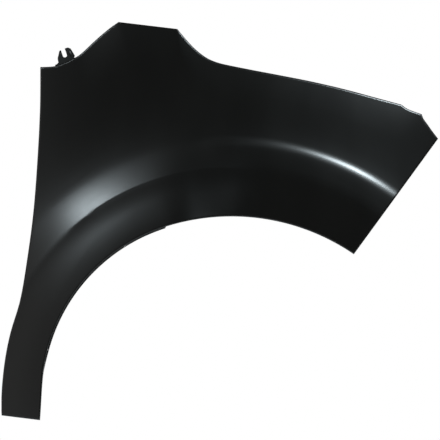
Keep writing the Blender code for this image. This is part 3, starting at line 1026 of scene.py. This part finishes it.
        def run(side: Side, profile: Sequence[Pair], segments: Sequence[int] = (), pad: float = 0.0) -> list:
            """Grow the flange of one run of the outline.

            Args:
                side: The run.
                profile: How the flange runs outward and inboard.
                segments: The solid's segments that hold pads or tabs.
                pad: How much farther inboard those reach.

            Returns:
                The rows of vertices.
            """
            stations = spans[side]
            return self.flange(
                mesh, [folded[i] for i in stations], profile,
                pads=[pad * self.bulge(i, segments) for i in range(len(stations))],
                sunk=[bends[i] - self.edge_bend for i in stations],
            )

        door = run(Side.DOOR, fl.straight(fl.door), fl.door_tab_segments, fl.door_tab)
        run(Side.PILLAR, fl.straight(fl.pillar))
        run(Side.TOP, fl.straight(fl.top))
        rail = run(Side.HOOD, fl.gutter(), fl.rail_pad_segments, fl.rail_pad)
        run(Side.LAMP, fl.straight(fl.lamp))
        run(Side.CORNER, fl.straight(fl.lamp))
        front = folded[front_start + margin + self.per_row : arch_start - margin + 1]
        front = self.flange(mesh, front, fl.straight(fl.front))
        lip = folded[arch_start + self.per_relief : toe_start - self.per_relief + 1]
        turns = [polar(Vector((vertex.co.x, vertex.co.z)))[0] for vertex, _ in lip]
        leans = [
            (turn > fl.opening_lean_from_deg) * (1 - blend(turn, *fl.opening_lean_fade_deg)) for turn in turns
        ]
        arch = self.flange(mesh, lip, fl.straight(fl.opening, fl.opening_lean), leans=leans)
        toe = self.flange(mesh, folded[toe_start + margin : len(folded) - margin + 1], fl.straight(fl.toe))

        pads, tabs = fl.rail_pad_segments, fl.door_tab_segments
        cuts = [(self.segment_seat(rail[-3], rail[-1], pad), holes.rail) for pad in pads]
        cuts += [(self.segment_seat(door[0], door[-1], tab, holes.tab_share), holes.door) for tab in tabs]
        cuts += [(self.share_seat(arch, share), holes.liner) for share in self.liner_shares(inner)]
        cuts += [(self.share_seat(front, share), holes.clip) for share in holes.clip_shares]
        cuts.append((self.share_seat(toe, 0.5), holes.toe))

        edge = [(outer[i], folded[i][1], folded[i][0].co.y) for i in spans[Side.PILLAR]]
        panel = mesh_object(self.node + "_pressing", mesh, self.sharp_deg)
        thicken(panel, self.sheet, -1)
        combine(panel, [self.cutter(place, *size) for place, size in cuts], "DIFFERENCE")
        smooth(panel, self.sharp_deg)
        weighted = panel.modifiers.new("even_shading", "WEIGHTED_NORMAL")
        weighted.mode = "FACE_AREA"
        weighted.keep_sharp = True
        return panel, edge

    def liner_shares(self, inner: list[Vector]) -> list[float]:
        """Work out where the holes for the wheel-arch liner come.

        Args:
            inner: The sections' inner ends, from the toe to the front corner.

        Returns:
            Shares of the way round the opening from its front end.
        """
        arch = inner[self.per_relief : -self.per_relief][::-1]
        lengths = [(b - a).length for a, b in zip(arch, arch[1:])]
        ends = [int((segment - 0.5) * self.per_segment) for segment in self.holes.liner_segments]
        return [sum(lengths[:end]) / sum(lengths) for end in ends]


@dataclass
class PillarBracket:
    """The forked plate that is spot-welded to the pillar flange and slides under a bolt of the body."""

    node: str = "pillar_bracket"
    sheet: float = 0.0020
    fit_gap: float = 0.0003
    base: float = 0.0200
    inset: float = 0.0030
    width: float = 0.0335
    height: float = 0.0225
    slot: float = 0.0072
    slot_root: float = 0.0075
    slot_share: float = 0.105
    slot_sides: int = 24
    lean_deg: float = 19.0
    bead_radius: float = 0.0014
    bead_length: float = 0.0110
    bead_shares: Pair = (0.41, 0.50)
    rear_shares: Pairs = ((-0.34, 0.12), (-0.31, 0.44), (-0.085, 0.97))
    front_shares: Pairs = ((0.39, 1.0), (0.51, 0.84), (0.60, 0.22))
    stations: tuple[int, ...] = (2, 3, 4)
    fork_station: int = 3
    edge_round: float = 0.00045
    weld_radii: Pair = (0.00208, 0.00312)
    weld_depth: float = 0.00025
    weld_share: float = 0.4
    sharp_deg: float = 40.0

    def build(self, edge: list[EdgeStation], step: int) -> Object:
        """Make the bracket about the wheel's axis.

        Args:
            edge: The pillar edge's points, mitres and depths.
            step: How many stations make one segment.

        Returns:
            The object.
        """
        ends = [(station - 1) * step for station in self.stations]
        deep = max(edge[end][2] for end in ends) + self.inset
        base = [(point, out) for point, out, _ in edge[ends[0] : ends[-1] + 1]]
        mesh = bmesh.new()
        rows = [
            [mesh.verts.new(self.above(*at, self.fit_gap, deep + self.base * share)) for at in base]
            for share in (0.0, 0.5, 1.0)
        ]
        for near, far in zip(rows, rows[1:]):
            strip_between(mesh, near, far)
        bracket = mesh_object(self.node + "_fork", mesh, self.sharp_deg)
        thicken(bracket, self.sheet, 1)

        middle = self.fit_gap + self.sheet / 2
        line = [point + out * middle for point, out in base]
        foot = line[(self.fork_station - self.stations[0]) * step]
        upright = deep + self.base - self.sheet / 2
        combine(bracket, [self.plate(line, foot, upright), self.bead(foot, upright)], "UNION")
        places = base[step // 2], base[-1 - step // 2]
        welds = [self.weld(*at, deep + self.base * self.weld_share) for at in places]
        combine(bracket, welds, "DIFFERENCE")
        smooth(bracket, self.sharp_deg)
        rounding = bracket.modifiers.new("rounding", "BEVEL")
        rounding.width = self.edge_round
        rounding.segments = 3
        rounding.limit_method = "ANGLE"
        rounding.angle_limit = math.radians(self.sharp_deg)
        rounding.use_clamp_overlap = True
        rounding.harden_normals = True
        return bracket

    @staticmethod
    def above(point: Vector, out: Vector, gap: float, depth: float) -> Vector:
        """A point a gap outside the outline, at a depth inboard."""
        place = point + out * gap
        return Vector((place.x, depth, place.y))

    def place(self, foot: Vector, across: float, up: float) -> Vector:
        """A point of the leaning fork, from its foot."""
        return foot + heading(self.lean_deg) * across + heading(self.lean_deg + 90) * up

    def plate(self, line: list[Vector], foot: Vector, depth: float) -> Object:
        """Make the upright fork with its open slot.

        Args:
            line: The middle of the base's sheet, from rear to front.
            foot: Where the fork stands on it.
            depth: How far inboard the plate's middle is.

        Returns:
            A closed flat plate.
        """
        tines = [
            [self.place(foot, x * self.width, z * self.height) for x, z in shares]
            for shares in (self.rear_shares, self.front_shares)
        ]
        middle, radius = self.slot_share * self.width, self.slot / 2
        slot = [self.place(foot, middle - radius, self.rear_shares[-1][1] * self.height)]
        for i in range(self.slot_sides + 1):
            angle = math.pi * i / self.slot_sides
            slot.append(self.place(
                foot, middle - radius * math.cos(angle), self.slot_root + radius * (1 - math.sin(angle))
            ))
        slot.append(self.place(foot, middle + radius, self.front_shares[0][1] * self.height))
        outline = line[::-1] + tines[0] + slot + tines[1]
        mesh = bmesh.new()
        near, far = (
            [mesh.verts.new((p.x, depth + side * self.sheet / 2, p.y)) for p in outline] for side in (-1, 1)
        )
        strip_between(mesh, near, far, closed=True)
        mesh.faces.new(near[::-1])
        mesh.faces.new(far)
        mesh.normal_update()
        bmesh.ops.triangulate(mesh, faces=[f for f in mesh.faces if len(f.verts) > 4])
        bmesh.ops.recalc_face_normals(mesh, faces=mesh.faces)
        return mesh_object("fork", mesh, self.sharp_deg)

    def bead(self, foot: Vector, depth: float) -> Object:
        """Make the pressed bead that stiffens the wider tine.

        Args:
            foot: Where the fork stands on its base.
            depth: How far inboard the plate's middle is.

        Returns:
            A stretched ball that sinks into the plate.
        """
        mesh = bmesh.new()
        bmesh.ops.create_uvsphere(mesh, u_segments=24, v_segments=16, radius=self.bead_radius)
        stretch = self.bead_length / (2 * self.bead_radius)
        place = self.place(foot, self.bead_shares[0] * self.width, self.bead_shares[1] * self.height)
        mesh.transform(
            Matrix.Translation((place.x, depth - self.sheet / 2, place.y))
            @ Matrix.Rotation(-math.radians(self.lean_deg), 4, "Y")
            @ Matrix.Diagonal((1.0, 1.0, stretch, 1.0))
        )
        return mesh_object("bead", mesh, self.sharp_deg)

    def weld(self, point: Vector, out: Vector, depth: float) -> Object:
        """Make the shallow round dent that a spot welder's tip leaves in the base.

        Args:
            point: A point of the outline.
            out: Its mitre.
            depth: How far inboard the weld is.

        Returns:
            The cutter for the dent.
        """
        mesh = bmesh.new()
        bmesh.ops.create_cone(
            mesh, cap_ends=True, segments=32, radius1=self.weld_radii[0], radius2=self.weld_radii[1],
            depth=2 * self.weld_depth,
        )
        upward = Vector((out.x, 0.0, out.y)).to_track_quat("Z", "Y").to_matrix().to_4x4()
        centre = self.above(point, out, self.fit_gap + self.sheet, depth)
        mesh.transform(Matrix.Translation(centre) @ upward)
        return mesh_object("weld", mesh, self.sharp_deg)


@dataclass(frozen=True)
class Softbox:
    """One square light with a diffuser in front."""

    name: str
    direction: Triple
    distance: float
    width: float
    power: float
    colour: str = "#EBF9FF"

    def place(self, aim: Vector) -> None:
        """Set the lamp up.

        Args:
            aim: The point that it faces.
        """
        lamp = bpy.data.lights.new(self.name, "AREA")
        lamp.shape = "SQUARE"
        lamp.size = self.width
        lamp.energy = self.power
        lamp.color = linear(self.colour)[:3]
        item = bpy.data.objects.new(self.name, lamp)
        item.location = aim + Vector(self.direction).normalized() * self.distance
        item.rotation_euler = (item.location - aim).to_track_quat("Z", "Y").to_euler()
        item.visible_camera = False
        show(item)


@dataclass
class Studio:
    """A pale floor, a white backdrop behind the fender, a dim room in front of it and two softboxes."""

    floor_gap: float = 0.10
    floor_size: Pair = (1.6, 0.9)
    floor_colour: str = "#E4E4E2"
    floor_glow: float = 0.35
    backdrop: str = "#FFFFFF"
    room: str = "#10100F"
    wall: str = "#C4C4C3"
    bounce: str = "#AAAAA9"
    backdrop_cosines: Pair = (0.955, 0.985)
    room_cosines: Pair = (0.8, 0.2)
    frame_px: int = 440
    metres_per_px: float = 0.00175
    wheel_px: Pair = (231.5, 411.0)
    camera_distance: float = 20.0
    sensor_mm: float = 36.0
    softboxes: tuple[Softbox, ...] = (
        Softbox("rear_softbox", (-0.64, -0.71, 0.75), 2.5, 0.40, 21.7),
        Softbox("front_softbox", (1.23, -0.71, 1.20), 2.5, 0.60, 78.2),
    )

    def light_world(self) -> None:
        """Light the world: white to the camera, and behind the fender white to its reflections too."""
        world = bpy.data.worlds.new("studio")
        bpy.context.scene.world = world
        world.use_nodes = True
        tree = world.node_tree
        tree.nodes.clear()
        around = add_node(tree, "ShaderNodeTexCoord").outputs["Generated"]
        axes = add_node(tree, "ShaderNodeSeparateXYZ", Vector=around).outputs
        dim = linear(self.room)
        ahead = range_node(tree, axes["Y"], self.room_cosines)
        # A pale wall far behind the car's rear and a pale floor, both seen only in the fender's reflections.
        for axis, pale in (("X", self.wall), ("Z", self.bounce)):
            share = math_node(tree, "MULTIPLY", range_node(tree, axes[axis], (0.0, -1.0)), ahead)
            dim = mix_node(tree, share, dim, linear(pale))
        behind = range_node(tree, axes["Y"], self.backdrop_cosines, easing="SMOOTHSTEP")
        path = add_node(tree, "ShaderNodeLightPath").outputs
        mirrored = math_node(tree, "MAXIMUM", path["Is Glossy Ray"], path["Is Transmission Ray"])
        bounced = math_node(tree, "MAXIMUM", mirrored, path["Is Diffuse Ray"])
        seen_behind = math_node(tree, "MULTIPLY", bounced, behind)
        white = math_node(tree, "MAXIMUM", path["Is Camera Ray"], seen_behind)
        colour = mix_node(tree, white, dim, linear(self.backdrop))
        light = add_node(tree, "ShaderNodeBackground", Color=colour, Strength=1.0)
        add_node(tree, "ShaderNodeOutputWorld", Surface=light.outputs["Background"])

    def floor_material(self) -> Material:
        """Make the floor's matt paper.

        Returns:
            A material that the camera sees as white wherever no shadow falls.
        """
        made = bpy.data.materials.new("matt_paper_floor")
        made.use_nodes = True
        tree = made.node_tree
        tree.nodes.clear()
        paper = add_node(tree, "ShaderNodeBsdfDiffuse", Color=linear(self.floor_colour))
        camera = add_node(tree, "ShaderNodeLightPath").outputs["Is Camera Ray"]
        glow = math_node(tree, "MULTIPLY", camera, self.floor_glow)
        lit = add_node(tree, "ShaderNodeEmission", Color=linear(self.backdrop), Strength=glow)
        both = add_node(tree, "ShaderNodeAddShader", _0=paper.outputs["BSDF"], _1=lit.outputs["Emission"])
        add_node(tree, "ShaderNodeOutputMaterial", Surface=both.outputs["Shader"])
        return made

    def lay_floor(self, low: Vector, high: Vector) -> None:
        """Lay the floor under the fender, clear of its toe.

        Args:
            low: The fender's lowest corner.
            high: Its highest corner.
        """
        middle = (low + high) / 2
        mesh = bmesh.new()
        bmesh.ops.create_grid(mesh, x_segments=1, y_segments=1, size=0.5)
        mesh.transform(
            Matrix.Translation((middle.x, middle.y, low.z - self.floor_gap))
            @ Matrix.Diagonal((*self.floor_size, 1.0, 1.0))
        )
        floor = mesh_object("floor", mesh, sharp_deg=30.0)
        floor.data.materials.append(self.floor_material())
        LOG.info("floor laid %.0f mm under the toe", self.floor_gap / MM)

    def set_camera(self, wheel: Vector) -> None:
        """Set the camera square on to the fender's side, as in the photograph.

        Args:
            wheel: Where the wheel's axis is in the frame.
        """
        across = (self.frame_px / 2 - self.wheel_px[0]) * self.metres_per_px
        up = (self.wheel_px[1] - self.frame_px / 2) * self.metres_per_px
        lens = bpy.data.cameras.new("camera")
        lens.sensor_width = self.sensor_mm
        lens.lens = self.sensor_mm * self.camera_distance / (self.frame_px * self.metres_per_px)
        lens.clip_end = 100.0
        camera = bpy.data.objects.new("camera", lens)
        camera.location = wheel + Vector((across, -self.camera_distance, up))
        camera.rotation_euler = (math.pi / 2, 0.0, 0.0)
        show(camera)
        bpy.context.scene.camera = camera

    def build(self, wheel: Vector, low: Vector, high: Vector) -> None:
        """Set up world, floor, camera and lamps.

        Args:
            wheel: Where the wheel's axis is in the frame.
            low: The fender's lowest corner.
            high: Its highest corner.
        """
        self.light_world()
        self.lay_floor(low, high)
        self.set_camera(wheel)
        for softbox in self.softboxes:
            softbox.place((low + high) / 2)
        bpy.context.scene.view_settings.view_transform = "Standard"


def dress(piece: Object, coat: Coat, node: str) -> None:
    """Give a piece its primer and let it stand for its solid.

    Args:
        piece: The piece, in its place.
        coat: Its finish.
        node: The solid that it replaces.
    """
    piece.data.materials.clear()
    piece.data.materials.append(coat.value.material())
    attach(piece, ROOT_BODY)
    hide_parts(node)
    LOG.info("%s: %d faces, %s", piece.name, len(piece.data.polygons), coat.value.name)


def corners(item: Object) -> tuple[Vector, Vector]:
    """The lowest and highest corners of an object's own mesh."""
    axes = list(zip(*(vertex.co for vertex in item.data.vertices)))
    return Vector([min(axis) for axis in axes]), Vector([max(axis) for axis in axes])


def main() -> None:
    """Build the fender's looks and the studio round it."""
    logging.basicConfig(level=logging.INFO, format="%(name)s: %(message)s")
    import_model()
    panel = FenderPanel()
    bracket = PillarBracket()
    low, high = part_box(panel.node)
    pressing, edge = panel.build()
    fork = bracket.build(edge, panel.per_segment)
    # The front corner and the top of the outline lie on the solid's own box. Across the car, the flare does.
    wheel = Vector((
        high.x - panel.outline.front_reach,
        low.y - corners(pressing)[0].y,
        high.z - panel.outline.height,
    ))
    for piece in (pressing, fork):
        piece.data.transform(Matrix.Translation(wheel))
    # The solid's coarser sections cut its curves a little short, and nothing here passes its box.
    for vertex in pressing.data.vertices:
        vertex.co = [min(max(vertex.co[i], low[i]), high[i]) for i in range(3)]
    dress(pressing, Coat.PANEL, panel.node)
    dress(fork, Coat.BRACKET, bracket.node)
    LOG.info("wheel axis at %.1f, %.1f, %.1f mm", *(wheel / MM))
    Studio().build(wheel, low, high)


if __name__ == "__main__":
    main()
